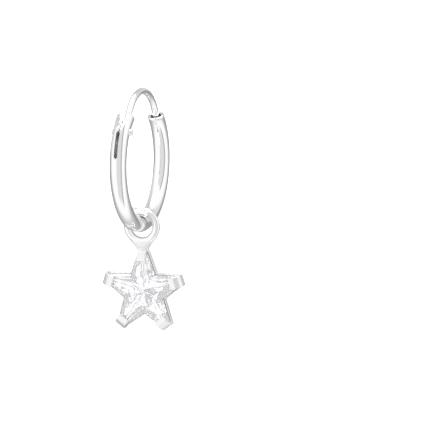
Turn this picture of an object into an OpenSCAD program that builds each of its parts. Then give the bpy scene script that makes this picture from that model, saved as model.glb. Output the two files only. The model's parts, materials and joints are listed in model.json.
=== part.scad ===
// Hinged hoop earring with a star charm. Millimetres, +Z up.
// The hoop stands in the YZ plane and the star faces -Y.
// The origin is the centre of the ear wire at its highest point, where the ear lobe carries it.

/* [Hoop] */
// Outer diameter of the hoop
hoop_d = 12; // [10:0.5:20]
// Wall of the hollow tube
tube_wall = 0.22; // [0.16:0.02:0.4]
// Room around the ear wire inside the tube, on each side
wire_play = 0.19; // [0.16:0.01:0.3]
// Angle of the slotted end, from +Y over the top
near_end_a = 127.5; // [122:0.5:132]
// Angle of the open end that takes the wire's tip
far_end_a = 40.2; // [34:0.1:46]
// How much flatter the open end is cut than square to the tube, in degrees
far_cut = 18.7; // [10:0.1:24]
// Diameter of the rolled edge around the open end
rim_d = 0.26; // [0.24:0.01:0.34]

/* [Ear wire] */
// Diameter of the ear wire
wire_d = 0.58; // [0.45:0.01:0.8]
// Height of the wire's bow above the line through its two feet
wire_rise = 2.4; // [1.8:0.05:3.2]
// How far inside the tube's centre line the wire leaves the slotted end
wire_in = 0.575; // [0.45:0.005:0.65]
// Length of full round wire that stands in the open end when shut
tip_depth = 0.35; // [0.2:0.01:0.45]

/* [Hinge] */
// Diameter of the rivet's shank
pin_d = 0.32; // [0.24:0.01:0.4]
// Running clearance between the rivet and the eye
pin_play = 0.02; // [0.01:0.005:0.04]
// Diameter of the rivet's two round heads
head_d = 0.58; // [0.48:0.01:0.7]
// Height of the straight part of a rivet head
head_rim = 0.06; // [0.04:0.01:0.12]
// Angle of the rivet, from +Y over the top
pivot_a = 143; // [140:0.5:146]
// How far inside the tube's centre line the rivet lies
pivot_in = 0.2; // [0.1:0.01:0.3]
// Diameter of the flattened eye of the wire
eye_d = 0.9; // [0.7:0.01:1]
// Thickness of the flattened end of the wire
tang_t = 0.4; // [0.3:0.01:0.5]
// Clearance of the wire and its eye in the slot
slot_play = 0.04; // [0.03:0.005:0.06]
// Opening angle that the slot is cut for
open_a = 90; // [60:5:100]
// How far from the rivet the cheeks' outer corners are filed round
cheek_r = 1.56; // [1.5:0.01:1.65]
// Width of the long saw cut down the outer face
saw_w = 0.3; // [0.2:0.01:0.36]
// Angle at which the saw cut ends
saw_end_a = 169.6; // [160:0.1:175]

/* [Charm loop] */
// Diameter of the wire of the loop
loop_wire_d = 0.66; // [0.5:0.01:0.9]
// Play of the loop's hole on the tube
loop_play = 0.54; // [0.4:0.01:1]
// Gap left where the loop hangs on the tube
hang_gap = 0.05; // [0.02:0.005:0.06]
// Height of the solder between the loop and the star
neck_h = 0.4; // [0.1:0.01:0.5]
// Width of the solder where it meets the loop
neck_w = 1.5; // [1.1:0.05:1.6]
// Depth of the solder, ending at the back of the loop's wire
neck_t = 0.6; // [0.4:0.05:0.65]

/* [Star stone] */
// Distance from the stone's centre to its blunt tips
stone_r = 3.42; // [3:0.01:4.5]
// Distance from the stone's centre to its inner corners
inner_r = 1.88; // [1.5:0.01:2.1]
// Width of a blunt tip
tip_w = 0.84; // [0.8:0.01:1.1]
// Height of the lower crown facets
crown_low = 0.21; // [0.12:0.01:0.3]
// Height of the upper crown facets
crown_top = 0.14; // [0.08:0.01:0.25]
// Thickness of the girdle
girdle_t = 0.12; // [0.06:0.01:0.2]
// Depth of the steep facets under the girdle
pav_low = 0.5; // [0.4:0.01:0.7]
// Depth from there to the culet
culet_h = 0.42; // [0.3:0.01:0.9]

/* [Star setting] */
// Gap between the stone and the metal
seat_gap = 0.03; // [0.02:0.005:0.05]
// Thickness of a claw
claw_t = 0.26; // [0.2:0.01:0.35]
// Width of a claw
claw_w = 1; // [0.9:0.01:1.3]
// Length of a claw seen from the front
claw_l = 1; // [0.7:0.05:1.2]
// How far the metal frame stands out around the stone
frame_out = 0.1; // [0.05:0.01:0.2]
// Width of the metal frame, measured inwards from its outline
frame_w = 0.42; // [0.3:0.01:0.5]
// Depth of the frame's straight part behind the girdle
frame_h = 0.45; // [0.35:0.05:0.8]
// Depth of the part behind it that closes in around the stone's back
gallery_h = 0.45; // [0.3:0.05:0.7]
// How far that part closes in
gallery_in = 0.22; // [0.1:0.01:0.24]
// How far the claws stand in front of the loop's middle
charm_front = 0.65; // [0.3:0.05:0.8]

/* [Hidden] */
$fn = 64;
silver = [0.93, 0.93, 0.94];
arms = 5;
past = 12;
reach = 3;

function dir(a) = [cos(a), sin(a)];
function angle_of(v) = atan2(v[1], v[0]);

// The tube and its two ends, around the hoop's centre, as [Y, Z]
bore_d = wire_d + 2 * wire_play;
tube_d = bore_d + 2 * tube_wall;
ring_r = (hoop_d - tube_d) / 2;
far_p = ring_r * dir(far_end_a);
rim_a = far_end_a + 90 - far_cut;
near_p = (ring_r - wire_in) * dir(near_end_a);

// The wire is the arc through its two feet with the given rise
chord = norm(far_p - near_p);
wire_r = (chord * chord / 4 + wire_rise * wire_rise) / (2 * wire_rise);
chord_up = angle_of(far_p - near_p) + 90;
wire_c = (far_p + near_p) / 2 - (wire_r - wire_rise) * dir(chord_up);
foot_a = angle_of(near_p - wire_c);
tip_a = angle_of(far_p - wire_c) - tip_depth / wire_r * 180 / PI;
hoop_at = [0, -wire_c[0], -wire_c[1] - wire_r];

// The rivet, and the room that the wire's flat end sweeps
pivot = (ring_r - pivot_in) * dir(pivot_a);
tang = norm(near_p - pivot);
rest_a = angle_of(near_p - pivot);
sweep_r = eye_d / 2 + slot_play;
stop_a = rest_a + open_a + 6;
head_x = sqrt(tube_d * tube_d / 4 - pivot_in * pivot_in) - head_rim;

// The charm, from the top down
loop_r = (tube_d + loop_play + loop_wire_d) / 2;
loop_z = hoop_at[2] - ring_r + tube_d / 2 + hang_gap - (loop_r - loop_wire_d / 2);
claw_r = stone_r + seat_gap + claw_t;
star_at = [0, hoop_at[1], loop_z - loop_r - loop_wire_d / 2 - neck_h - claw_r];

// Depths behind the front of the claws
table_y = claw_t + seat_gap - charm_front;
girdle_y = table_y + crown_top + crown_low;
frame_y = girdle_y + girdle_t + seat_gap;
table_in = tip_w / 2 - 0.04;
low_in = table_in / 2.6;
pav_in = tip_w / 2 - 0.02;

// Puts [u, v, w] at Y = u, Z = v, X = w around the hoop's centre
module at_hoop() {
    translate(hoop_at) rotate([90, 0, 90]) children();
}

// Points +Z of the child along the direction a at the point p of the hoop's plane
module aim(p, a) {
    translate([p[0], p[1], 0]) rotate([0, 0, a]) rotate([0, 90, 0]) children();
}

module arc_rod(r, d, from, to) {
    rotate([0, 0, from]) rotate_extrude(angle = to - from, $fn = 128) translate([r, 0]) circle(d = d);
}

module half_ball(d) {
    rotate_extrude() intersection() {
        circle(d = d);
        square(d / 2);
    }
}

// Rounds off a wire that ends at the origin and points along +Z
module nose() {
    sink = wire_d / 8;
    translate([0, 0, -sink]) cylinder(d1 = 0.97 * wire_d, d2 = 0.8 * wire_d, h = wire_d / 4 + sink);
    translate([0, 0, wire_d / 4]) cylinder(d1 = 0.8 * wire_d, d2 = 0.35 * wire_d, h = wire_d / 4);
}

// Everything that the flat end passes on its way open
module sweep_area() {
    translate(pivot) circle(r = sweep_r);
    polygon(concat(
        [pivot + sweep_r * dir(rest_a - 90)],
        [for (k = [0:4]) pivot + reach * dir(rest_a + k * (stop_a - rest_a) / 4) +
            (k == 0 ? sweep_r * dir(rest_a - 90) : k == 4 ? sweep_r * dir(stop_a + 90) : [0, 0])],
        [pivot + sweep_r * dir(stop_a + 90)]));
}

// The way through the inner wall under the eye
module under_area() {
    translate(pivot) rotate(pivot_a - 90) translate([-0.9 * sweep_r, -reach]) square(reach);
}

module cheek_corner() {
    linear_extrude(2 * tube_d, center = true) translate(pivot) difference() {
        rotate(pivot_a - 90) square(reach);
        circle(r = cheek_r);
    }
}

module hinge_slot() {
    linear_extrude(tang_t + 2 * slot_play, center = true) {
        sweep_area();
        under_area();
    }
    linear_extrude(wire_d + 2 * slot_play, center = true) difference() {
        sweep_area();
        translate(pivot) circle(r = tang - wire_d / 2 - slot_play);
    }
}

// The long cut goes through the outer wall only and ends round
module saw_cut() {
    round_a = saw_end_a - 1.3 * saw_w / hoop_d * 180 / PI;
    rotate([0, 0, near_end_a + past]) rotate_extrude(angle = round_a - near_end_a - past, $fn = 128)
        translate([ring_r, -saw_w / 2]) square([tube_d, saw_w]);
    intersection() {
        aim(ring_r * dir(round_a), round_a) cylinder(d = 1.3 * saw_w, h = tube_d);
        cube([hoop_d + tube_d, hoop_d + tube_d, saw_w], center = true);
    }
}

module rivet() {
    translate(pivot) {
        cylinder(d = pin_d, h = 2 * head_x, center = true);
        for (side = [0, 1]) mirror([0, 0, side]) translate([0, 0, head_x]) {
            cylinder(d = head_d, h = head_rim);
            translate([0, 0, head_rim]) half_ball(head_d);
        }
    }
}

module rivet_seats() {
    translate(pivot) {
        cylinder(d = pin_d, h = 2 * tube_d, center = true);
        for (side = [0, 1]) mirror([0, 0, side]) translate([0, 0, head_x]) cylinder(d = head_d, h = tube_d);
    }
}

module hoop_tube() {
    color(silver) at_hoop() difference() {
        union() {
            difference() {
                arc_rod(ring_r, tube_d, near_end_a, 360 + far_end_a + past);
                translate(far_p) rotate(rim_a - 90) translate([-reach, 0, -tube_d])
                    cube([2 * reach, reach, 2 * tube_d]);
            }
            aim(far_p, rim_a) rotate_extrude() translate([(bore_d + tube_d) / 4, 0]) circle(d = rim_d);
        }
        arc_rod(ring_r, bore_d, near_end_a - past, 360 + far_end_a + past);
        hinge_slot();
        cheek_corner();
        saw_cut();
        rivet_seats();
    }
}

module hinge_pin() {
    color(silver) at_hoop() rivet();
}

// The eye and the flat end, kept flush with the inner side of the hoop
module tang_area() {
    across = rest_a + 90;
    difference() {
        union() {
            translate(pivot) circle(d = eye_d);
            polygon([
                pivot + 0.4 * eye_d * dir(across),
                near_p + 0.42 * wire_d * dir(across),
                near_p - 0.42 * wire_d * dir(across),
                pivot - 0.4 * eye_d * dir(across)]);
        }
        circle(r = ring_r - tube_d / 2 + slot_play, $fn = 128);
        translate(pivot) circle(d = pin_d + 2 * pin_play);
    }
}

module ear_wire() {
    color(silver) at_hoop() {
        translate([wire_c[0], wire_c[1], 0]) arc_rod(wire_r, wire_d, tip_a, foot_a);
        aim(wire_c + wire_r * dir(tip_a), tip_a - 90) nose();
        aim(near_p, foot_a + 90) nose();
        linear_extrude(tang_t, center = true) tang_area();
    }
}

// The stone's outline seen from the front, as [X, Z], with three corners to an arm
outline = [for (i = [0:arms - 1]) let (a = 90 + i * 360 / arms) for (corner = [
    stone_r * dir(a) - tip_w / 2 * dir(a + 90),
    stone_r * dir(a) + tip_w / 2 * dir(a + 90),
    inner_r * dir(a + 180 / arms)]) corner];
corners = len(outline);

function outward(p, q) = [q[1] - p[1], p[0] - q[0]] / norm(q - p);

// The outline moved outwards by a constant distance
function grown(by) = [for (i = [0:corners - 1]) let (
    before = outward(outline[(i + corners - 1) % corners], outline[i]),
    after = outward(outline[i], outline[(i + 1) % corners]))
    outline[i] + by * (before + after) / (1 + before * after)];

// A solid whose section at each depth is the outline, moved outwards by the ring's second value.
// Its front is flat and its back ends in a point at the depth end_y.
module layers(rings, end_y) {
    last = len(rings) - 1;
    points = [for (ring = rings) for (p = grown(ring[1])) [p[0], ring[0], p[1]]];
    middles = [[0, rings[0][0], 0], [0, end_y, 0]];
    function at(k, i) = k * corners + i % corners;
    polyhedron(concat(points, middles), concat(
        [for (i = [0:corners - 1]) [at(0, i + 1), at(0, i), len(points)]],
        [for (k = [0:last - 1]) for (i = [0:corners - 1])
            [at(k, i), at(k, i + 1), at(k + 1, i + 1), at(k + 1, i)]],
        [for (i = [0:corners - 1]) [at(last, i), at(last, i + 1), len(points) + 1]]));
}

// Table, two rows of crown facets, girdle, and two rows of pavilion facets down to the culet
module gem(extra) {
    low_y = girdle_y + girdle_t + pav_low;
    layers([
        [table_y - extra, extra - table_in],
        [table_y + crown_top - extra, extra - low_in],
        [girdle_y, extra],
        [girdle_y + girdle_t, extra],
        [low_y, extra - pav_in]], low_y + culet_h);
}

// A slice of the star's plane from the depth y to the depth y + h
module slab(y, h) {
    translate([0, y + h, 0]) rotate([90, 0, 0]) linear_extrude(h) children();
}

// A flat strip that runs forward past the tip and folds over the crown
module claw() {
    tip_x = stone_r + seat_gap;
    back_y = frame_y + frame_h;
    low_y = table_y + crown_top;
    rotate([90, 0, 90]) linear_extrude(claw_w, center = true) polygon([
        [back_y, tip_x],
        [girdle_y - seat_gap / 2, tip_x],
        [low_y - seat_gap, tip_x - low_in],
        [table_y - seat_gap, tip_x - table_in],
        [table_y - seat_gap, claw_r - claw_l],
        [-charm_front, claw_r - claw_l],
        [-charm_front, tip_x - table_in + claw_t / 2],
        [low_y - seat_gap - 0.6 * claw_t, tip_x - low_in + 0.8 * claw_t],
        [girdle_y - seat_gap - claw_t / 3, claw_r],
        [back_y, claw_r]]);
}

module frame() {
    back_y = frame_y + frame_h;
    end_y = back_y + gallery_h;
    difference() {
        layers([[frame_y, frame_out], [back_y, frame_out], [end_y, frame_out - gallery_in]], end_y);
        slab(frame_y - seat_gap, frame_h + gallery_h + 2 * seat_gap) polygon(grown(frame_out - frame_w));
        gem(seat_gap);
    }
}

module solder() {
    foot_z = claw_r - 0.85 * claw_t;
    top_z = claw_r + neck_h + loop_wire_d / 3;
    slab(loop_wire_d / 2 - neck_t, neck_t) polygon([
        [-0.42 * claw_w, foot_z],
        [0.42 * claw_w, foot_z],
        [0.42 * claw_w, claw_r + neck_h / 3],
        [neck_w / 2, top_z],
        [-neck_w / 2, top_z],
        [-0.42 * claw_w, claw_r + neck_h / 3]]);
}

module star_setting() {
    color(silver) {
        translate([0, star_at[1], loop_z]) rotate([90, 0, 0])
            rotate_extrude($fn = 128) translate([loop_r, 0]) circle(d = loop_wire_d);
        translate(star_at) {
            solder();
            frame();
            for (i = [0:arms - 1]) rotate([0, i * 360 / arms, 0]) claw();
        }
    }
}

module star_stone() {
    color([0.86, 0.88, 0.95]) translate(star_at) gem(0);
}

hoop_tube();
hinge_pin();
ear_wire();
star_setting();
star_stone();
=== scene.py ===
# %% [markdown]
# # A hinged hoop earring with a star charm
#
# This lesson dresses one small earring: a hollow silver hoop, a thin ear wire that turns on a
# rivet, and a clear star that swings from a round loop. The solids come ready made in metres.
# We work all five out again with numpy, from the same measures, because soft solder, a flattened
# wire end and a rolled lip are easier to shape as formulas.

# %% Load the frame
import json

import bpy
import numpy as np
from mathutils import Matrix, Vector

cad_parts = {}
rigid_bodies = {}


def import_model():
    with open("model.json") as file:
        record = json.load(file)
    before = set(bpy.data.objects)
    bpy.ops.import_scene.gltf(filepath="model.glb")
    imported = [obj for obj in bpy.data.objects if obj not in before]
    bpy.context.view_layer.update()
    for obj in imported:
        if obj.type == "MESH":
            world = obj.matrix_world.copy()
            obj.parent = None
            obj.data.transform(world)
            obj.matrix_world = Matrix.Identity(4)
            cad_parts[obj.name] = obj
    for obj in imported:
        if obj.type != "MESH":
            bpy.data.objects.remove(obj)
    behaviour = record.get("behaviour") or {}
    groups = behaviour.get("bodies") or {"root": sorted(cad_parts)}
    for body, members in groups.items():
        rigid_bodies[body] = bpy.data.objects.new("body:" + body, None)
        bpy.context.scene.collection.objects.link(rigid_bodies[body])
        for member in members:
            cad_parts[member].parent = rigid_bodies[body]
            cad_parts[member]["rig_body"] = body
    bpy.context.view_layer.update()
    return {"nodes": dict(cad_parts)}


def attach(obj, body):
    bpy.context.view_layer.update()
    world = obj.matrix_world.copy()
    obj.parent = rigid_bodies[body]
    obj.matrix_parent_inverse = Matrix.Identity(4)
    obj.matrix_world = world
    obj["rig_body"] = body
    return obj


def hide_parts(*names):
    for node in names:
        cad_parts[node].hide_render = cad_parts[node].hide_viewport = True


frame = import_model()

MM = 0.001

# %% [markdown]
# ## The measures
#
# Every new piece has to sit where its solid sits, so some sizes of the solids are needed again.
# Each is written once, where it is first used, in millimetres and in the solids' frame: the origin
# is the ear wire's centre at its top, +Z is up, and the hoop stands in the YZ plane.

# %% The hoop's centre
HOOP = np.array([0.0, -0.52427, -5.98622])
print("hoop's centre in mm:", HOOP)

# %% [markdown]
# ## The camera
#
# A long lens from about twenty centimetres away sees the earring with almost no perspective.
# The direction is given as an azimuth and an elevation, and the picture is turned by about one
# degree, as a hand-held frame is. No lens shift is used: the camera itself is turned a little,
# until the hoop's centre falls on its own place in the square picture.

# %% Camera
# The picture's side and the focal length in pixels, the distance in mm, and the hoop centre's pixel
PICTURE, FOCAL_PX, DISTANCE, HOOP_PX = 440, 2408.75, 205.0, (140.4, 161.9)
AZIMUTH, ELEVATION, ROLL = np.radians([20.6, 8.1, -1.25])

to_camera = np.array([
    np.sin(AZIMUTH) * np.cos(ELEVATION), -np.cos(AZIMUTH) * np.cos(ELEVATION), np.sin(ELEVATION)])
level = np.array([np.cos(AZIMUTH), np.sin(AZIMUTH), 0.0])
upward = np.cross(to_camera, level)
right = np.cos(ROLL) * level + np.sin(ROLL) * upward
above = np.cos(ROLL) * upward - np.sin(ROLL) * level
aimed = Matrix(np.column_stack([right, above, to_camera]).tolist())
ray = Vector((HOOP_PX[0] - PICTURE / 2, PICTURE / 2 - HOOP_PX[1], -FOCAL_PX))
turned = aimed @ ray.rotation_difference(Vector((0, 0, -1))).to_matrix()

lens = bpy.data.cameras.new("camera")
lens.sensor_width = 36.0
lens.lens = FOCAL_PX * lens.sensor_width / PICTURE
lens.clip_start, lens.clip_end = 0.01, 10.0
camera = bpy.data.objects.new("camera", lens)
camera.matrix_world = Matrix.Translation(Vector((HOOP + DISTANCE * to_camera) * MM)) @ turned.to_4x4()
bpy.context.scene.collection.objects.link(camera)
bpy.context.scene.camera = camera
print("lens in mm:", round(lens.lens, 1))

# %% [markdown]
# ## Helpers
#
# Colours are written as sRGB hex values, as a paint program shows them, and one function turns
# them to the linear values that a shader adds up. Another adds a node with its settings and
# links in one call, and a third starts a material.

# %% Helpers
def linear(code):
    """Linear RGBA of an sRGB hex value.

    Each part is c / 12.92 below 0.04045, and else ((c + 0.055) / 1.055) to the power 2.4.
    """
    c = np.array([int(code[k:k + 2], 16) for k in (1, 3, 5)]) / 255
    return (*np.where(c < 0.04045, c / 12.92, ((c + 0.055) / 1.055) ** 2.4).tolist(), 1.0)


def add(tree, kind, settings=(), **inputs):
    """Adds a node, sets its properties, and gives each named input a value or a link.

    An input goes by its own name, with _ for a space, or by its number, as n0, n1 and so on.
    """
    node = tree.nodes.new(kind)
    for key, value in dict(settings).items():
        setattr(node, key, value)
    for key, value in inputs.items():
        numbered = key[0] == "n" and key[1:].isdigit()
        socket = node.inputs[int(key[1:]) if numbered else key.replace("_", " ")]
        if isinstance(value, bpy.types.NodeSocket):
            tree.links.new(value, socket)
        else:
            socket.default_value = value
    return node


def empty_material(name):
    """A material with nothing but its output node, its node tree, and that node."""
    made = bpy.data.materials.new(name)
    made.use_nodes = True
    made.node_tree.nodes.clear()
    return made, made.node_tree, made.node_tree.nodes.new("ShaderNodeOutputMaterial")


print("hex #808080 is", round(linear("#808080")[0], 3), "in linear light")

# %% [markdown]
# ## The tent
#
# Polished silver has no colour of its own: it shows the room. Here the room is a white tent with
# an opening for the camera, and the space behind the earring is a little darker, which draws the
# thin grey line round every bright edge. The tent is the world's light, as a function of the
# direction alone. One ramp of light runs round the earring, and another from below to above.

# %% Light by direction
WHITE = 1.08
# In front, by the angle round the earring in degrees, with the camera at 0
TENT = [(-180, WHITE), (-26, WHITE), (-20, 0.8), (30, 0.78), (42, 0.5), (46, 0.32), (49, 0.5), (53, WHITE),
    (180, WHITE)]
# Behind, by the height of the direction, from -1 straight down to 1 straight up
BEHIND = [(-1, 0.6), (-0.6, 0.46), (-0.2, 0.34), (0.0, 0.42), (0.09, 0.72), (0.3, 0.72), (1, 0.5)]

world = bpy.data.worlds.new("light tent")
bpy.context.scene.world = world
world.use_nodes = True
tent = world.node_tree
tent.nodes.clear()
way = add(tent, "ShaderNodeTexCoord").outputs["Generated"]
turned_way = add(tent, "ShaderNodeVectorRotate", {"rotation_type": "Z_AXIS"},
    Vector=way, Angle=-float(AZIMUTH) + np.pi / 2)
axes = add(tent, "ShaderNodeSeparateXYZ", Vector=turned_way.outputs[0])
turn_angle = add(tent, "ShaderNodeMath", {"operation": "ARCTAN2"},
    n0=axes.outputs["Y"], n1=axes.outputs["X"])
turn_share = add(tent, "ShaderNodeMath", {"operation": "MULTIPLY_ADD"},
    n0=turn_angle.outputs[0], n1=1 / (2 * np.pi), n2=0.5)
rise_share = add(tent, "ShaderNodeMath", {"operation": "MULTIPLY_ADD"}, n0=axes.outputs["Z"], n1=0.5, n2=0.5)
ramps = []
for share, stops in ((turn_share, TENT), (rise_share, BEHIND)):
    ramp = add(tent, "ShaderNodeValToRGB", Fac=share.outputs[0])
    elements = ramp.color_ramp.elements
    elements.remove(elements[-1])
    for k, (value, light) in enumerate(stops):
        at = (value - stops[0][0]) / (stops[-1][0] - stops[0][0])
        stop = elements[0] if k == 0 else elements.new(at)
        stop.position, stop.color = at, (light, light, light, 1)
    ramps.append(ramp.outputs["Color"])
print("stops in front and behind:", len(TENT), len(BEHIND))

# %% [markdown]
# ## The tent's walls
#
# The two ramps are laid together. In front, the stripes fade out high above and far below.
# Behind is a cone of grey, lightest just above level and darkest just below, and it deepens away
# from the camera. The silver's edges mirror what lies straight behind them, so they come out
# darker than its faces.

# %% The tent's walls
steepness = add(tent, "ShaderNodeMath", {"operation": "ABSOLUTE"}, n0=axes.outputs["Z"])
fading = add(tent, "ShaderNodeMapRange", Value=steepness.outputs[0], From_Min=0.75, From_Max=0.9)
front = add(tent, "ShaderNodeMix", n0=fading.outputs[0], n2=ramps[0], n3=WHITE)
toward = add(tent, "ShaderNodeVectorMath", {"operation": "DOT_PRODUCT"},
    n0=way, n1=to_camera.tolist()).outputs["Value"]
deepening = add(tent, "ShaderNodeMapRange", Value=toward, From_Min=-0.1, From_Max=-0.6)
behind = add(tent, "ShaderNodeMix", n0=deepening.outputs[0], n2=0.88, n3=ramps[1])
in_cone = add(tent, "ShaderNodeMapRange", Value=toward, From_Min=0.0, From_Max=-0.3)
walls = add(tent, "ShaderNodeMix", n0=in_cone.outputs[0], n2=front.outputs[0], n3=behind.outputs[0])
print("nodes in the tent so far:", len(tent.nodes))

# %% [markdown]
# ## What shines through the stone
#
# A cut stone breaks the room into small pieces, and sparkles only where the room has both bright
# and dark places. A real room is the same for the silver and for the stone. Here, for the look
# alone, rays that pass through the stone see other lamps, brighter and with small dark gaps, and
# the camera itself sees plain white.

# %% Lamps for the stone
# Light of the lamps, and of the gaps between them
LAMPS, GAPS = 2.2, 0.7
noise = add(tent, "ShaderNodeTexNoise", Vector=way, Scale=2.6, Detail=2.0)
lamps = add(tent, "ShaderNodeMapRange", Value=noise.outputs[0],
    From_Min=0.36, From_Max=0.46, To_Min=GAPS, To_Max=LAMPS)
seen = add(tent, "ShaderNodeLightPath")
strength = add(tent, "ShaderNodeMix",
    n0=seen.outputs["Is Transmission Ray"], n2=walls.outputs[0], n3=lamps.outputs[0])
white = add(tent, "ShaderNodeBackground", Color=linear("#FFFFFF"), Strength=1.0)
lit = add(tent, "ShaderNodeBackground", Color=linear("#FFFFFF"), Strength=strength.outputs[0])
both = add(tent, "ShaderNodeMixShader",
    n0=seen.outputs["Is Camera Ray"], n1=lit.outputs[0], n2=white.outputs[0])
add(tent, "ShaderNodeOutputWorld", Surface=both.outputs[0])
print("nodes in the whole tent:", len(tent.nodes))

# %% [markdown]
# ## The overhead light and the floor
#
# A soft sun from straight above lifts the upper sides a little. The floor is plain, pale and
# bright, and lies far below the hanging earring. The silver and the stone don't mirror it.

# %% Overhead light and floor
sun = bpy.data.objects.new("overhead light", bpy.data.lights.new("overhead light", "SUN"))
sun.data.energy, sun.data.angle = 2.0, np.radians(60)
bpy.context.scene.collection.objects.link(sun)
bpy.context.scene.view_settings.view_transform = "Standard"

FLOOR_Z, FLOOR_SIZE = -45.0, 4000.0
reach = FLOOR_SIZE / 2 * MM
floor_mesh = bpy.data.meshes.new("floor")
floor_corners = [(x * reach, y * reach, FLOOR_Z * MM) for x, y in ((-1, -1), (1, -1), (1, 1), (-1, 1))]
floor_mesh.from_pydata(floor_corners, [], [(0, 1, 2, 3)])
floor = bpy.data.objects.new("floor", floor_mesh)
bpy.context.scene.collection.objects.link(floor)
paper, paper_tree, paper_out = empty_material("matt white paper")
sheet = add(paper_tree, "ShaderNodeBsdfDiffuse", Color=linear("#F6F5F3"))
paper_tree.links.new(sheet.outputs[0], paper_out.inputs["Surface"])
floor_mesh.materials.append(paper)
floor.visible_glossy = floor.visible_transmission = False
print("floor at z in mm:", FLOOR_Z)

# %% [markdown]
# ## The metal
#
# Sterling silver is drawn, bent and cast, and then polished to a mirror. It stays very slightly
# wavy, so a reflected line wanders a little, and the buffing leaves it a touch less sharp in
# places. Where the tool can't reach, such as the bore, the saw cut and the solder, it stays grey
# and dull. Every piece carries an attribute, worked, that says how much of this it has: 0 is
# polished, 1 is as it came from the bench. The colour is nearly neutral and the IOR is left alone.

# %% Silver
def silver_finish(name, worked_colour, worked_rough, lumps_mm, lump_height_mm):
    """Polished silver that turns to another colour, roughness and lumpiness where worked is 1."""
    made, tree, out = empty_material(name)
    place = add(tree, "ShaderNodeTexCoord").outputs["Object"]
    worked = add(tree, "ShaderNodeAttribute", {"attribute_name": "worked"}).outputs["Fac"]
    # Polishing waves about 0.9 mm long and a few micrometres high
    waves = add(tree, "ShaderNodeTexNoise", Vector=place, Scale=1 / (0.9 * MM), Detail=1.0)
    # The buff's own grain is finer than a hundredth of a millimetre and is drawn ten times as coarse
    grain = add(tree, "ShaderNodeTexNoise", Vector=place, Scale=1 / (0.1 * MM), Detail=3.0)
    lumps = add(tree, "ShaderNodeTexNoise", Vector=place, Scale=1 / (lumps_mm * MM), Detail=2.0)
    tone = add(tree, "ShaderNodeMix", {"data_type": "RGBA"},
        n0=grain.outputs[0], n6=linear("#F9F9F8"), n7=linear("#F2F2F3"))
    colour = add(tree, "ShaderNodeMix", {"data_type": "RGBA"},
        n0=worked, n6=tone.outputs[2], n7=linear(worked_colour))
    buffed = add(tree, "ShaderNodeMapRange", Value=grain.outputs[0], To_Min=0.04, To_Max=0.09)
    rough = add(tree, "ShaderNodeMix", n0=worked, n2=buffed.outputs[0], n3=worked_rough)
    wavy = add(tree, "ShaderNodeBump", Height=waves.outputs[0], Strength=1.0, Distance=0.004 * MM)
    lumpy = add(tree, "ShaderNodeBump", Height=lumps.outputs[0], Strength=worked,
        Distance=lump_height_mm * MM, Normal=wavy.outputs[0])
    metal = add(tree, "ShaderNodeBsdfPrincipled", Base_Color=colour.outputs[2], Metallic=1.0,
        Roughness=rough.outputs[0], Normal=lumpy.outputs[0])
    tree.links.new(metal.outputs[0], out.inputs["Surface"])
    return made


tube_silver = silver_finish("drawn silver tube, polished outside", "#EDEBE8", 0.45, 0.3, 0.004)
wire_silver = silver_finish("drawn silver wire, hammered flat at the hinge", "#C8C7C5", 0.3, 0.16, 0.02)
rivet_silver = silver_finish("silver rivet with tapped heads", "#E9E9E8", 0.12, 0.2, 0.012)
cast_silver = silver_finish("cast silver, soldered at the neck", "#F6F6F7", 0.5, 0.22, 0.012)
print("silver finishes:", [m.name for m in bpy.data.materials if "silver" in m.name])

# %% [markdown]
# ## The stone's material
#
# Cubic zirconia bends light more than any glass, at an index of about 2.16, so it throws most of
# the light back out of its front. The real stone is clear. This one is only 55% clear, and the
# rest is a soft white body, a painted reflection that stands for the many small reflections that
# fill a stone this small, with a cool tint, also a painted reflection, strongest over the deepest part in
# the middle.

# %% Zirconia
STAR = np.array([0.0, -0.52427, -17.24622])
zirconia, stone_tree, stone_out = empty_material("cut cubic zirconia")
inside = add(stone_tree, "ShaderNodeTexCoord").outputs["Object"]
# Painted reflection: a cool grey-lavender tint, mottled by noise, strongest near the stone's middle
away = add(stone_tree, "ShaderNodeVectorMath", {"operation": "DISTANCE"}, n0=inside, n1=(STAR * MM).tolist())
deep = add(stone_tree, "ShaderNodeMapRange", Value=away.outputs["Value"],
    From_Min=2.2 * MM, From_Max=0.5 * MM)
painted_reflection_mottle = add(stone_tree, "ShaderNodeTexNoise", Vector=inside, Scale=1 / (0.7 * MM), Detail=2.0)
painted_reflection_tint = add(stone_tree, "ShaderNodeMath", {"operation": "MULTIPLY"}, n0=deep.outputs[0], n1=painted_reflection_mottle.outputs[0])
body = add(stone_tree, "ShaderNodeMix", {"data_type": "RGBA"},
    n0=painted_reflection_tint.outputs[0], n6=linear("#FAFAFB"), n7=linear("#DAD9EA"))
print("stone's centre:", STAR)

# %% [markdown]
# ## Small flats behind
#
# A cut stone has many more small reflections than the facets that we can see and count. So the
# back is shaded as if it had small flats of about 0.55 mm, each leaning its own way by up to 19
# degrees. Inside each cell of a Voronoi pattern, the height is the dot product of the way from the
# cell's middle with the cell's own random lean. The flats begin just behind the girdle.

# %% Flats behind the girdle
# Width of a flat, and by how much its lean is multiplied
FLATS_MM, FLATS_LEAN = 0.55, 0.7
cells = add(stone_tree, "ShaderNodeTexVoronoi", Vector=inside, Scale=1 / (FLATS_MM * MM))
lean = add(stone_tree, "ShaderNodeVectorMath", {"operation": "SUBTRACT"},
    n0=cells.outputs["Color"], n1=(0.5, 0.5, 0.5))
from_middle = add(stone_tree, "ShaderNodeVectorMath", {"operation": "SUBTRACT"},
    n0=inside, n1=cells.outputs["Position"])
flat_height = add(stone_tree, "ShaderNodeVectorMath", {"operation": "DOT_PRODUCT"},
    n0=lean.outputs[0], n1=from_middle.outputs[0])
depth = add(stone_tree, "ShaderNodeSeparateXYZ", Vector=inside)
pavilion = add(stone_tree, "ShaderNodeMapRange", Value=depth.outputs["Y"],
    From_Min=(STAR[1] + 0.1) * MM, From_Max=(STAR[1] + 0.14) * MM)
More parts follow.
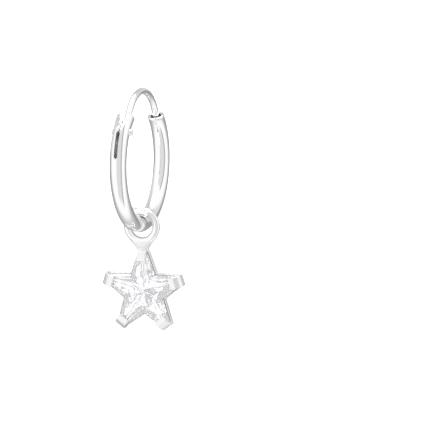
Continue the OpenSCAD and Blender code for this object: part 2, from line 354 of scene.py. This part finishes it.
flats = add(stone_tree, "ShaderNodeBump",
    Height=flat_height.outputs["Value"], Strength=pavilion.outputs[0], Distance=FLATS_LEAN)
# The base colour carries the painted reflection: the white body and the cool tint in the middle
glass = add(stone_tree, "ShaderNodeBsdfPrincipled", Base_Color=body.outputs[2], Roughness=0.0, IOR=2.16,
    Transmission_Weight=0.55, Normal=flats.outputs[0])
stone_tree.links.new(glass.outputs[0], stone_out.inputs["Surface"])
print("nodes in the stone's material:", len(stone_tree.nodes))

# %% [markdown]
# ## Surfaces from arrays
#
# Every new piece is a grid of points: rows of rings that are carried along a path. One function
# joins such a grid to quads and closes its ends, and works on whole arrays. The shapes are made
# in millimetres, where Blender's cutting tools are at ease, and brought to metres at the end.

# %% Grid to mesh
def quads(rows, cols, closed=False):
    """Faces of a grid whose rows are closed rings. Corner (i, j) is number i * cols + j."""
    i, j = np.meshgrid(np.arange(rows if closed else rows - 1), np.arange(cols), indexing="ij")
    a, b = i * cols + j, i * cols + (j + 1) % cols
    c, d = (i + 1) % rows * cols + (j + 1) % cols, (i + 1) % rows * cols + j
    return np.stack([a, b, c, d], -1).reshape(-1, 4)


def points_of(mesh):
    """All corners of a mesh as an array."""
    co = np.empty(3 * len(mesh.vertices))
    mesh.vertices.foreach_get("co", co)
    return co.reshape(-1, 3)


def volume(mesh):
    """Signed volume: the sum of a . (b x c) / 6 over all triangles. It is negative if inside out."""
    mesh.calc_loop_triangles()
    tri = np.empty(3 * len(mesh.loop_triangles), dtype=np.int32)
    mesh.loop_triangles.foreach_get("vertices", tri)
    a, b, c = points_of(mesh)[tri.reshape(-1, 3).T]
    return float(np.einsum("ij,ij->i", a, np.cross(b, c)).sum() / 6)


def closed_mesh(name, points, faces):
    """A mesh of a closed shell, with its faces turned outwards."""
    mesh = bpy.data.meshes.new(name)
    mesh.from_pydata(points.tolist(), [], faces)
    if volume(mesh) < 0:
        mesh.flip_normals()
    return mesh


def solid(name, rings, closed=False):
    """A closed mesh from rings of points, as rows x cols x 3. Open ends get one flat face each."""
    rows, cols = rings.shape[:2]
    faces = quads(rows, cols, closed).tolist()
    if not closed:
        faces += [list(range(cols))[::-1], list(range((rows - 1) * cols, rows * cols))]
    return closed_mesh(name, rings.reshape(-1, 3), faces)


print("a grid of 3 rings of 8 points has", len(quads(3, 8)), "quads")

# %% [markdown]
# ## Cutting, and putting in place
#
# Slots and holes are cut with solids, as with a saw and a drill, so the walls of a cut are real
# surfaces. A finished mesh then takes the place of its solid and moves with the same body.

# %% Modifiers and pieces
def evaluated(name, mesh, modifiers):
    """The mesh after a list of modifiers, each as (kind, settings)."""
    holder = bpy.data.objects.new(name, mesh)
    bpy.context.scene.collection.objects.link(holder)
    for kind, settings in modifiers:
        added = holder.modifiers.new(kind, kind)
        for key, value in settings.items():
            setattr(added, key, value)
    made = bpy.data.meshes.new_from_object(holder.evaluated_get(bpy.context.evaluated_depsgraph_get()))
    bpy.data.objects.remove(holder)
    return made


def cut(mesh, *tools):
    """The mesh less each tool's solid."""
    holders = [bpy.data.objects.new("tool", tool) for tool in tools]
    for holder in holders:
        bpy.context.scene.collection.objects.link(holder)
    left = evaluated("work", mesh, [
        ("BOOLEAN", {"operation": "DIFFERENCE", "solver": "EXACT", "object": holder}) for holder in holders])
    for holder in holders:
        bpy.data.objects.remove(holder)
    return left


def piece(name, mesh, node, material, worked, smooth_deg=40):
    """Brings a mesh from millimetres to metres and puts it in the node's place, on the node's body."""
    corners = points_of(mesh)
    mesh.attributes.new("worked", "FLOAT", "POINT").data.foreach_set("value", worked(corners - HOOP))
    mesh.vertices.foreach_set("co", (corners * MM).ravel())
    mesh.materials.clear()
    mesh.materials.append(material)
    mesh.shade_smooth()
    mesh.set_sharp_from_angle(angle=np.radians(smooth_deg))
    made = bpy.data.objects.new(name, mesh)
    bpy.context.scene.collection.objects.link(made)
    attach(made, frame["nodes"][node]["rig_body"])
    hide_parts(node)
    print(name, "has", len(mesh.polygons), "faces")


# %% [markdown]
# ## The plane of the hoop
#
# Everything about the hoop is easiest in its own plane: a point is given by how far it is along
# +Y and +Z from the hoop's centre, and by its x. Angles start at +Y and turn towards +Z.

# %% The hoop's plane
# Diameters of the wire, the bore and the tube, and the radius of the tube's centre line
WIRE_D, BORE_D, TUBE_D, RING_R = 0.58, 0.96, 1.4, 5.3
# The angles of the tube's two ends, how much flatter the open one is cut, and its lip's thickness
NEAR_END, FAR_END, FAR_CUT, RIM_D = 127.5, 40.2, 18.7, 0.26
# The rivet's angle, how far it and the wire's foot are inside the centre line, and its shank
PIVOT_A, PIVOT_IN, WIRE_IN, PIN_D = 143, 0.2, 0.575, 0.32
# The eye's diameter, the flat end's thickness, its play in the slot, and how far the slot lets it turn
EYE_D, TANG_T, PLAY, OPENING = 0.9, 0.4, 0.04, 96


def facing(a):
    """Unit vector of the angle a in degrees, in the hoop's plane."""
    a = np.radians(a)
    return np.stack([np.cos(a), np.sin(a)], -1)


def placed(u, x):
    """World point of u = (along Y, along Z) from the hoop's centre, and of x."""
    u, x = np.asarray(u), np.asarray(x)
    return np.stack([np.broadcast_to(x, u[..., 0].shape), u[..., 0], u[..., 1]], -1) + HOOP


def angle_of(v):
    """Angle in degrees of a vector in the hoop's plane."""
    return float(np.degrees(np.arctan2(v[1], v[0])))


def smooth_step(x):
    """3 x^2 - 2 x^3 between 0 and 1, and flat outside."""
    x = np.clip(x, 0, 1)
    return x * x * (3 - 2 * x)


NEAR_P, FAR_P = (RING_R - WIRE_IN) * facing(NEAR_END), RING_R * facing(FAR_END)
PIVOT = (RING_R - PIVOT_IN) * facing(PIVOT_A)
REST_A = angle_of(NEAR_P - PIVOT)
STOP_A = REST_A + OPENING
print("rivet at", placed(PIVOT, 0).round(3), "flat end points to", round(REST_A, 2), "degrees")

# %% [markdown]
# ## The hollow tube
#
# The real tube is drawn, bent round a rod, slit at one end for the hinge and turned over at the
# other end to a smooth lip, so that it doesn't scratch. Its whole skin is one profile, carried
# once round the tube: along the outside, over the rolled lip, and back through the bore.

# %% The tube's skin
# Points round the tube, along it and over the lip
AROUND, ALONG, LIP = 72, 300, 22
# The part of a circle that the lip's profile takes, and how far before the mouth the walls stop, in degrees
LIP_FROM, LIP_TO, LIP_ROOM = -55, 235, 1.3


def tube_point(a, phi, r):
    """Point on a torus: (R + r cos phi) along the direction a in the plane, and r sin phi along x."""
    return placed((RING_R + r * np.cos(phi))[..., None] * facing(a), r * np.sin(phi))


def mouth_angle(phi, r):
    """Where the tube meets the slanted plane of its open end.

    There (R + r cos phi) cos(a - rim) = R cos(far - rim).
    """
    rim = FAR_END + 90 - FAR_CUT
    reached = RING_R * np.cos(np.radians(FAR_END - rim)) / (RING_R + r * np.cos(phi))
    return 360 + rim - np.degrees(np.arccos(reached))


phi = np.linspace(0, 2 * np.pi, AROUND, endpoint=False)[None, :]
t = np.linspace(0, 1, ALONG)[:, None]
skins = []
for r, run in ((TUBE_D / 2, t), (BORE_D / 2, t[::-1])):
    last = mouth_angle(phi, r) - LIP_ROOM
    skins.append(tube_point(NEAR_END + run * (last - NEAR_END), phi + 0 * run, r + 0 * phi * run))
lip_r = (BORE_D + TUBE_D) / 4
over = np.radians(np.linspace(LIP_FROM, LIP_TO, LIP))[:, None]
end = mouth_angle(phi, lip_r)
ahead = np.stack([0 * end, -np.sin(np.radians(end)), np.cos(np.radians(end))], -1)
out_way = np.stack([
    np.sin(phi), np.cos(phi) * np.cos(np.radians(end)), np.cos(phi) * np.sin(np.radians(end))], -1)
bead = tube_point(end, phi, lip_r + 0 * phi) + RIM_D / 2 * (
    np.cos(over)[..., None] * out_way + np.sin(over)[..., None] * ahead)
tube = solid("hoop_tube_skin", np.concatenate([skins[0], bead, skins[1]]), closed=True)
print("before its cuts, the tube holds", round(volume(tube), 2), "mm3 of silver")

# %% [markdown]
# ## The slot for the hinge
#
# The wire's flat end turns through a slot in the tube, from shut to open, and the eye has a way
# through the inner wall. The round wire behind it needs more room, so the slot is wider there. The
# cheeks' corners are filed round. Each cut is a flat outline, pushed through the tube.

# %% The slot's cutting tools
# The filed corners' radius, a length that reaches well outside the tube, and the half width of the
# way under the eye, as a share of the room that the eye sweeps
CHEEK_R, OUTSIDE, UNDER = 1.56, 3, 0.9


def prism(outline, half):
    """A flat cutting tool: an outline in the hoop's plane, from -half to +half along x."""
    return solid("tool", np.stack([placed(outline, -half), placed(outline, half)]))


sweep_r = EYE_D / 2 + PLAY
fan = np.array([PIVOT + OUTSIDE * facing(REST_A + k * (STOP_A - REST_A) / 4) for k in range(5)])
fan[0] += sweep_r * facing(REST_A - 90)
fan[4] += sweep_r * facing(STOP_A + 90)
under_turn = np.degrees(np.arccos(UNDER))
bow = PIVOT + sweep_r * facing(np.linspace(STOP_A + 90, PIVOT_A + 90 + under_turn, 24))
inward, sideways, outward = [OUTSIDE * facing(PIVOT_A + turn) for turn in (180, -90, 0)]
slot = prism(np.concatenate([bow, [bow[-1] + inward, bow[-1] + inward + sideways], fan]), TANG_T / 2 + PLAY)
clear_r = np.linalg.norm(NEAR_P - PIVOT) - WIRE_D / 2 - PLAY
sweep_lean = np.degrees(np.arcsin(sweep_r / clear_r))
back = PIVOT + clear_r * facing(np.linspace(STOP_A + sweep_lean, REST_A - sweep_lean, 40))
wide_slot = prism(np.concatenate([back, fan]), WIRE_D / 2 + PLAY)
filed = PIVOT + CHEEK_R * facing(np.linspace(PIVOT_A - 90, PIVOT_A, 40))
corner = prism(np.concatenate([filed, PIVOT + np.array([outward, outward + sideways, sideways])]), TUBE_D)
print("the flat end turns from", round(REST_A, 1), "to at most", round(STOP_A, 1), "degrees")

# %% [markdown]
# ## The saw cut, and the spread cheeks
#
# A long fine saw cut runs down the outer wall below the slot. Its lower end is round: there the
# half width follows a half circle. After the cuts, the two cheeks are spread very slightly, from
# just below the rivet up to their ends, for outlines nearer to the real ones.

# %% Saw cut and cheeks
# The cut's width, how many degrees past the near end it starts, and the angle where it ends
SAW_W, SAW_START, SAW_END = 0.3, 12, 169.6
# The cheeks' spread in mm, how many degrees below the rivet it starts, and over how many it grows
SPREAD, SPREAD_FROM, SPREAD_OVER = 0.06, 5, 20

run = np.linspace(0, 1, 60)
saw_a = NEAR_END + SAW_START + run * (SAW_END - NEAR_END - SAW_START)
left = np.radians(SAW_END - saw_a) * RING_R
half = np.sqrt(np.clip(1 - (1 - np.clip(left / (SAW_W / 2), 0, 1)) ** 2, 1e-4, 1)) * SAW_W / 2
saw = solid("tool", np.stack([placed(r * facing(saw_a), side * half) for r, side in
    ((RING_R, -1), (RING_R, 1), (RING_R + TUBE_D, 1), (RING_R + TUBE_D, -1))], 1))
open_tube = cut(tube, slot, wide_slot, corner, saw)
corners = points_of(open_tube) - HOOP
corner_a = np.degrees(np.arctan2(corners[:, 2], corners[:, 1])) % 360
past_rivet = smooth_step((PIVOT_A + SPREAD_FROM - corner_a) / SPREAD_OVER) * (corners[:, 1] < 0)
corners[:, 0] *= 1 + SPREAD / (TUBE_D / 2) * past_rivet
open_tube.vertices.foreach_set("co", (corners + HOOP).ravel())
print("the cuts took", round(volume(tube) - volume(open_tube), 2), "mm3")

# %% [markdown]
# ## Where the tube isn't polished
#
# The buff reaches the outside and not the bore or the walls of the saw cut. Between the cheeks it
# reaches a little.

# %% Hoop tube
# The height of the saw cut's foot above the hoop's centre
SAW_FOOT = 1.05


def from_centre_line(p):
    """Distance from the tube's centre line: the length of (|(y, z)| - R, x)."""
    return np.hypot(np.hypot(p[:, 1], p[:, 2]) - RING_R, p[:, 0])


def unpolished(p):
    """1 in the bore and on the walls of the saw cut, less between the cheeks, and 0 outside."""
    bore = smooth_step((BORE_D / 2 + 0.08 - from_centre_line(p)) / 0.06)
    cheeks = (p[:, 1] < 0) * smooth_step((p[:, 2] - PIVOT[1] + 0.1) / 0.3)
    behind_rivet = (p[:, 1] < PIVOT[0]) * (p[:, 2] < PIVOT[1]) * (p[:, 2] > SAW_FOOT)
    in_wall = np.hypot(p[:, 1], p[:, 2]) > RING_R + 0.3
    cut_walls = (np.abs(p[:, 0]) < SAW_W / 2 + 0.01) * in_wall * behind_rivet
    return np.maximum(bore * (1 - 0.6 * cheeks), cut_walls)


piece("hoop_tube_polished", open_tube, "hoop_tube", tube_silver, unpolished)

# %% [markdown]
# ## The ear wire
#
# The wire is round where it goes through the ear. Its foot is hammered flat, drilled and put on
# the rivet, and it could be made from three pieces, but the real one is a single wire. So one
# section is carried along the wire's centre line, an arc and then a straight line to the eye. The
# line is walked in even steps, and a running mean over 31 of them takes out the kink.

# %% The wire's centre line
# The bow's height over the line through its feet, and how deep the full round wire is in the mouth
WIRE_RISE, TIP_DEPTH = 2.4, 0.35
# Points of the evenly walked line, and how many of them the running mean takes
STEPS, SOFT = 1401, 31

chord = np.linalg.norm(FAR_P - NEAR_P)
wire_r = (chord ** 2 / 4 + WIRE_RISE ** 2) / (2 * WIRE_RISE)
wire_c = (FAR_P + NEAR_P) / 2 - (wire_r - WIRE_RISE) * facing(angle_of(FAR_P - NEAR_P) + 90)
nose_l = WIRE_D / 2
tip_a = angle_of(FAR_P - wire_c) - np.degrees((TIP_DEPTH + nose_l) / wire_r)
bend = wire_c + wire_r * facing(np.linspace(tip_a, angle_of(NEAR_P - wire_c), 900))
flat_end = NEAR_P + np.linspace(0, 1, 241)[1:, None] * (PIVOT + EYE_D / 2 * facing(REST_A + 180) - NEAR_P)
path = np.concatenate([bend, flat_end])
gone = np.concatenate([[0], np.cumsum(np.linalg.norm(np.diff(path, axis=0), axis=1))])
even = np.linspace(0, gone[-1], STEPS)
path = np.stack([np.interp(even, gone, path[:, k]) for k in (0, 1)], -1)
before = path[:1] + (path[0] - path[1]) * np.arange(SOFT // 2, 0, -1)[:, None]
after = path[-1:] + (path[-1] - path[-2]) * np.arange(1, SOFT // 2 + 1)[:, None]
padded = np.concatenate([before, path, after])
path = np.stack([np.convolve(padded[:, k], np.ones(SOFT) / SOFT, "valid") for k in (0, 1)], -1)[::4]
even = even[::4]
print("the wire is", round(float(gone[-1]), 2), "mm long, bent to a radius of", round(float(wire_r), 2))

# %% [markdown]
# ## The wire's section
#
# The section's two half widths change on the way: thinner across, and wider in the hoop's plane,
# until the eye closes round the rivet. The tip and the eye's far end are round, each by the
# circle's own formula. A superellipse makes the flat part boxier than the round one.

# %% Ear wire
# How far before the eye the flat part begins, over what length, and how much wider it is there
FLAT_FROM, FLAT_OVER, FLAT_WIDER = 1.47, 0.37, 0.06
# How far before the eye the wire begins to widen to it, the eye's play, and where the polish begins
EYE_FROM, PIN_PLAY, WORKED_R = 0.9, 0.02, 1.5


def superellipse(t, p, q, n):
    """Point at p |cos t|^(2/n) and q |sin t|^(2/n) with their signs: an ellipse at n = 2."""
    c, s = np.cos(t), np.sin(t)
    return p * np.sign(c) * np.abs(c) ** (2 / n), q * np.sign(s) * np.abs(s) ** (2 / n)


to_eye = even[-1] - EYE_D / 2 - even
flatness = smooth_step((FLAT_FROM - to_eye) / FLAT_OVER)
nose = np.sqrt(np.clip(1 - np.clip(1 - even / nose_l, 0, 1) ** 2, 1e-4, 1))
across = (WIRE_D / 2 + flatness * (TANG_T - WIRE_D) / 2) * nose
to_full_eye = EYE_D / 2 - WIRE_D / 2 - FLAT_WIDER
wide = (WIRE_D / 2 + FLAT_WIDER * flatness + to_full_eye * smooth_step(1 - to_eye / EYE_FROM)) * nose
past_eye = np.clip(-to_eye / (EYE_D / 2), 0, 0.9999)
wide = wide * np.sqrt(1 - past_eye ** 2)
boxy = 2 + 2.5 * flatness
heading = np.gradient(path, axis=0)
heading /= np.linalg.norm(heading, axis=1, keepdims=True)
side_way = np.stack([-heading[:, 1], heading[:, 0]], -1)
ring_turn = np.linspace(0, 2 * np.pi, 32, endpoint=False)[None, :]
p, q = superellipse(ring_turn, wide[:, None], across[:, None], boxy[:, None])
rings = placed(path[:, None, :] + p[..., None] * side_way[:, None, :], q)
drill = prism(PIVOT + (PIN_D / 2 + PIN_PLAY) * facing(np.linspace(0, 360, 48, endpoint=False)), TUBE_D)
piece("ear_wire_polished", cut(solid("ear_wire_skin", rings), drill), "ear_wire", wire_silver,
    lambda p: smooth_step((WORKED_R - np.hypot(*(p[:, 1:] - PIVOT).T)) / 0.3))

# %% [markdown]
# ## The rivet
#
# A short silver pin goes through both cheeks and the eye, and its ends are tapped to low domes.
# It is a turned shape, so one half profile is carried round the x axis.

# %% Rivet
# The heads' radius, and the height of the straight rim under each dome
HEAD_R, HEAD_RIM = 0.29, 0.06
head_x = np.sqrt(TUBE_D ** 2 / 4 - PIVOT_IN ** 2) - HEAD_RIM
dome = np.radians(np.linspace(0, 89, 14))
dome_x = head_x + HEAD_RIM
half_x = np.concatenate([[0, head_x, head_x, dome_x], dome_x + HEAD_R * np.sin(dome[1:])])
half_r = np.concatenate([[PIN_D / 2, PIN_D / 2, HEAD_R, HEAD_R], HEAD_R * np.cos(dome[1:])])
pin_x, pin_r = np.concatenate([-half_x[::-1], half_x[1:]]), np.concatenate([half_r[::-1], half_r[1:]])
rivet_turn = facing(np.linspace(0, 360, 40, endpoint=False))
rivet = solid("rivet_skin", placed(PIVOT + pin_r[:, None, None] * rivet_turn, pin_x[:, None]))
piece("rivet_polished", rivet, "hinge_pin", rivet_silver,
    lambda p: smooth_step((np.abs(p[:, 0]) - 0.8) / 0.1))

# %% [markdown]
# ## The star's outline
#
# The stone and its setting share one outline: five arms with blunt tips. Everything in the
# setting is this outline moved outwards by a constant distance, at some depth behind the table.

# %% Star outline
# From the centre to the tips and to the inner corners, the width of a tip, and the number of arms
STONE_R, INNER_R, TIP_W, ARMS = 3.42, 1.88, 0.84, 5
arms = 90 + np.arange(ARMS) * 360 / ARMS
tips = STONE_R * facing(arms)
OUTLINE = np.stack([tips - TIP_W / 2 * facing(arms + 90), tips + TIP_W / 2 * facing(arms + 90),
    INNER_R * facing(arms + 180 / ARMS)], 1).reshape(-1, 2)


def grown(by):
    """The outline moved outwards: each corner goes by (n1 + n2) / (1 + n1 . n2) times the distance."""
    edge = np.roll(OUTLINE, -1, 0) - OUTLINE
    next_n = np.stack([edge[:, 1], -edge[:, 0]], -1) / np.linalg.norm(edge, axis=1, keepdims=True)
    last_n = np.roll(next_n, 1, 0)
    return OUTLINE + by * (last_n + next_n) / (1 + (last_n * next_n).sum(1, keepdims=True))


def star_point(flat_xz, y):
    """World point of (x, z) in the star's plane at the depth y."""
    flat_xz = np.asarray(flat_xz)
    y = np.broadcast_to(y, flat_xz[..., 0].shape)
    return np.stack([flat_xz[..., 0], y, flat_xz[..., 1]], -1) + STAR


print("the outline has", len(OUTLINE), "corners and is", round(float(np.ptp(OUTLINE[:, 0])), 2), "mm wide")

# %% [markdown]
# ## The stone
#
# A machine-cut stone is a stack of facets: a flat table in front, two rows of crown facets, a
# thin girdle, and rows of pavilion facets that meet behind. Each row is a ring of the moved
# outline's corners and of the middles of its edges. The middles lie a little off the straight
# line, so that flat triangles join the rings and no two neighbours face the same way. Every ring
# keeps its points over the inner corners, so no facet bridges them. The two innermost rings are
# made nearly round, for the look: the facets behind the middle then don't line up to five ridges.

# %% The stone's rings
# Depths of the table and of the girdle's front, and how far behind that the stone ends
TABLE_Y, GIRDLE_Y, CULET_Y = -0.36, -0.01, 1.04
RING = 2 * len(OUTLINE)
# Of each ring: its depth, offset and size, what its middles add to both, and how round it is
FACETS = [(TABLE_Y, -0.38, 1, 0, 0, 0), (TABLE_Y + 0.14, -0.146, 1, -0.03, -0.05, 0),
    (GIRDLE_Y, 0, 1, 0, 0, 0), (GIRDLE_Y + 0.12, 0, 1, 0, 0, 0),
    (GIRDLE_Y + 0.34, -0.16, 1, 0.08, -0.1, 0), (GIRDLE_Y + 0.62, -0.4, 1, -0.06, 0.05, 0),
    (GIRDLE_Y + 0.8, -0.4, 0.62, 0.05, 0, 0.6), (GIRDLE_Y + 0.94, -0.4, 0.32, -0.04, 0, 0.9)]


def facet_ring(y, by, size, mid_y, mid_by, roundness):
    """The moved outline's corners, and between them the middles of its edges at their own place."""
    moved = grown(by + mid_by)
    flat = np.stack([grown(by), (moved + np.roll(moved, -1, 0)) / 2], 1).reshape(-1, 2)
    far = np.linalg.norm(flat, axis=1, keepdims=True)
    flat = flat * (1 - roundness + roundness * far.mean() / far)
    return star_point(flat * size, y + np.tile([0, mid_y], len(OUTLINE)))


ends = [STAR + [0, TABLE_Y, 0], STAR + [0, GIRDLE_Y + CULET_Y, 0]]
stone_points = np.concatenate([*(facet_ring(*row) for row in FACETS), ends])
print("points of the stone:", len(stone_points))

# %% [markdown]
# ## The stone's facets
#
# Each quad between two rings is split into two triangles, by turns along one diagonal and along
# the other. The table and the back end as fans round a middle point.

# %% Stone
n = np.arange(RING)
stone_faces = []
for k in range(len(FACETS) - 1):
    a, b = RING * k + n, RING * k + (n + 1) % RING
    c, d = a + RING, b + RING
    even_one = ((n + k) % 2 == 0)[:, None]
    first = np.where(even_one, np.stack([a, b, c], 1), np.stack([a, b, d], 1))
    second = np.where(even_one, np.stack([b, d, c], 1), np.stack([a, d, c], 1))
    stone_faces += np.concatenate([first, second]).tolist()
back_ring = RING * (len(FACETS) - 1)
stone_faces += np.stack([(n + 1) % RING, n, 0 * n + len(stone_points) - 2], 1).tolist()
stone_faces += np.stack(
    [back_ring + n, back_ring + (n + 1) % RING, 0 * n + len(stone_points) - 1], 1).tolist()
stone_mesh = closed_mesh("star_stone_cut", stone_points, stone_faces)
piece("star_stone_cut", stone_mesh, "star_stone", zirconia, lambda p: 0 * p[:, 0], smooth_deg=1)

# %% [markdown]
# ## The setting
#
# The real setting is a cast frame with five flat claws folded over the tips, and the loop is
# soldered on top. Its inner corners are all a little soft, from casting, solder and polishing.
# Separate sharp pieces pushed into each other would look like a toy. So simple solids are laid
# together, melted to one skin by a voxel remesh, and relaxed slightly. First come the loop, which
# is a torus, and the frame, which is the star's outline at different offsets and depths.

# %% Loop and frame
# The height of the loop's centre, the radius of its centre line, and its wire's diameter
LOOP_Z, LOOP_R, LOOP_WIRE = -11.50622, 1.3, 0.66
# The stone's room in its seat, and the depths of the frame's front, its outer back edge and its back
SEAT, FRAME_Y, BACK_Y, END_Y = 0.03, 0.14, 0.59, 1.04

u, v = np.meshgrid(np.linspace(0, 2 * np.pi, 144, endpoint=False),
    np.linspace(0, 2 * np.pi, 36, endpoint=False), indexing="ij")
loop_r = LOOP_R + LOOP_WIRE / 2 * np.cos(v)
loop = solid("loop", closed=True, rings=np.stack([
    loop_r * np.cos(u), LOOP_WIRE / 2 * np.sin(v) + HOOP[1], loop_r * np.sin(u) + LOOP_Z], -1))

section = [(0.1, FRAME_Y), (SEAT, FRAME_Y), (-0.32, 0.56), (-0.32, END_Y), (-0.12, END_Y), (0.1, BACK_Y)]
metal_parts = [loop, solid("frame", np.stack([star_point(grown(by), y) for by, y in section]), closed=True)]
print("loop's centre at z in mm:", LOOP_Z)

# %% [markdown]
# ## The claws
#
# Each claw is a flat strip, folded up along the side of the tip and over the crown to the table.
# The top claw is made narrower and less proud than the solid's, as it looks where the solder
# runs over it.

# %% Claws
# A claw's thickness, width and length, and how far it comes forward
CLAW_T, CLAW_W, CLAW_L, FRONT = 0.26, 1.0, 1.0, 0.65
# The top claw's half width, and how far it comes forward
TOP_HALF_W, TOP_FRONT = 0.42, 0.48
# How far in from the girdle the table and the crown's middle edge lie, and how far that edge is
# behind the table
TABLE_IN, LOW_IN, CROWN = 0.38, 0.146, 0.14
tip_r = STONE_R + SEAT


def claw_side(front):
    """The folded strip seen from its side, as (depth, distance from the star's centre)."""
    return np.array([(BACK_Y, tip_r), (GIRDLE_Y - SEAT / 2, tip_r), (TABLE_Y + CROWN - SEAT, tip_r - LOW_IN),
        (TABLE_Y - SEAT, tip_r - TABLE_IN), (TABLE_Y - SEAT, tip_r + CLAW_T - CLAW_L),
        (-front, tip_r + CLAW_T - CLAW_L), (-front, tip_r - TABLE_IN + CLAW_T / 2),
        (TABLE_Y + CROWN - SEAT - 0.6 * CLAW_T, tip_r - LOW_IN + 0.8 * CLAW_T),
        (GIRDLE_Y - SEAT - CLAW_T / 3, tip_r + CLAW_T), (BACK_Y, tip_r + CLAW_T)])


for k, a in enumerate(arms):
    half_claw, fold = (TOP_HALF_W, claw_side(TOP_FRONT)) if k == 0 else (CLAW_W / 2, claw_side(FRONT))
    strip = fold[:, 1:] * facing(a)
    metal_parts.append(solid("claw", np.stack([
        star_point(strip + w * facing(a + 90), fold[:, 0]) for w in (-half_claw, half_claw)])))
print("solids of the setting so far:", len(metal_parts))

# %% [markdown]
# ## The solder
#
# The solder fills the corner between the top claw and the loop. It is a stack of rounded boxes
# that grow wider and move forward on their way up to the loop.

# %% Solder
# Where the solder starts above the star's centre, its height, and its superellipse's exponent
SOLDER_Z, SOLDER_H, SOLDER_BOXY = 3.5, 1.1, 2.6
up = np.linspace(0, 1, 25)[:, None]
solder_z = SOLDER_Z + SOLDER_H * up
solder_half_w = 0.5 + 0.68 * np.clip((up - 0.15) / 0.85, 0, 1) ** 1.15
solder_front = -0.06 - 0.25 * smooth_step(up / 0.8)
solder_back = 0.5 - 0.17 * smooth_step(up / 0.8)
px, py = superellipse(np.linspace(0, 2 * np.pi, 40, endpoint=False)[None, :],
    solder_half_w, (solder_back - solder_front) / 2, SOLDER_BOXY)
metal_parts.append(solid("solder",
    star_point(np.stack([px, solder_z + 0 * px], -1), (solder_back + solder_front) / 2 + py)))
print("the solder is up to", round(2 * float(solder_half_w.max()), 2), "mm wide")

# %% [markdown]
# ## One melted skin
#
# All the solids go into one mesh, and a voxel remesh of 0.045 mm keeps only the outer skin. Three
# rounds of smoothing then soften the corners. The neck and the claws stay less polished than the
# loop.

# %% Setting
# The voxels' size, and the height of the neck's middle above the star's centre
VOXEL, NECK_MID = 0.045, 3.85


def joined(name, meshes):
    """One mesh that holds the corners and faces of several."""
    corners, faces, start = [], [], 0
    for mesh in meshes:
        corners.append(points_of(mesh))
        faces += [[start + k for k in face.vertices] for face in mesh.polygons]
        start += len(mesh.vertices)
    made = bpy.data.meshes.new(name)
    made.from_pydata(np.concatenate(corners).tolist(), [], faces)
    return made


melted = evaluated("setting", joined("setting_parts", metal_parts), [
    ("REMESH", {"mode": "VOXEL", "voxel_size": VOXEL, "adaptivity": 0.0}),
    ("SMOOTH", {"factor": 0.5, "iterations": 3})])
neck_z = STAR[2] + NECK_MID - HOOP[2]
star_top = neck_z - 0.1


def as_cast(p):
    """1 on the solder of the neck, 0.7 on the frame and the claws, and 0 on the polished loop."""
    neck = smooth_step((0.75 - np.abs(p[:, 2] - neck_z)) / 0.3) * smooth_step((1.1 - np.abs(p[:, 0])) / 0.3)
    return np.maximum(neck, 0.7 * smooth_step((star_top - p[:, 2]) / 0.2))


piece("star_setting_cast", melted, "star_setting", cast_silver, as_cast, smooth_deg=180)
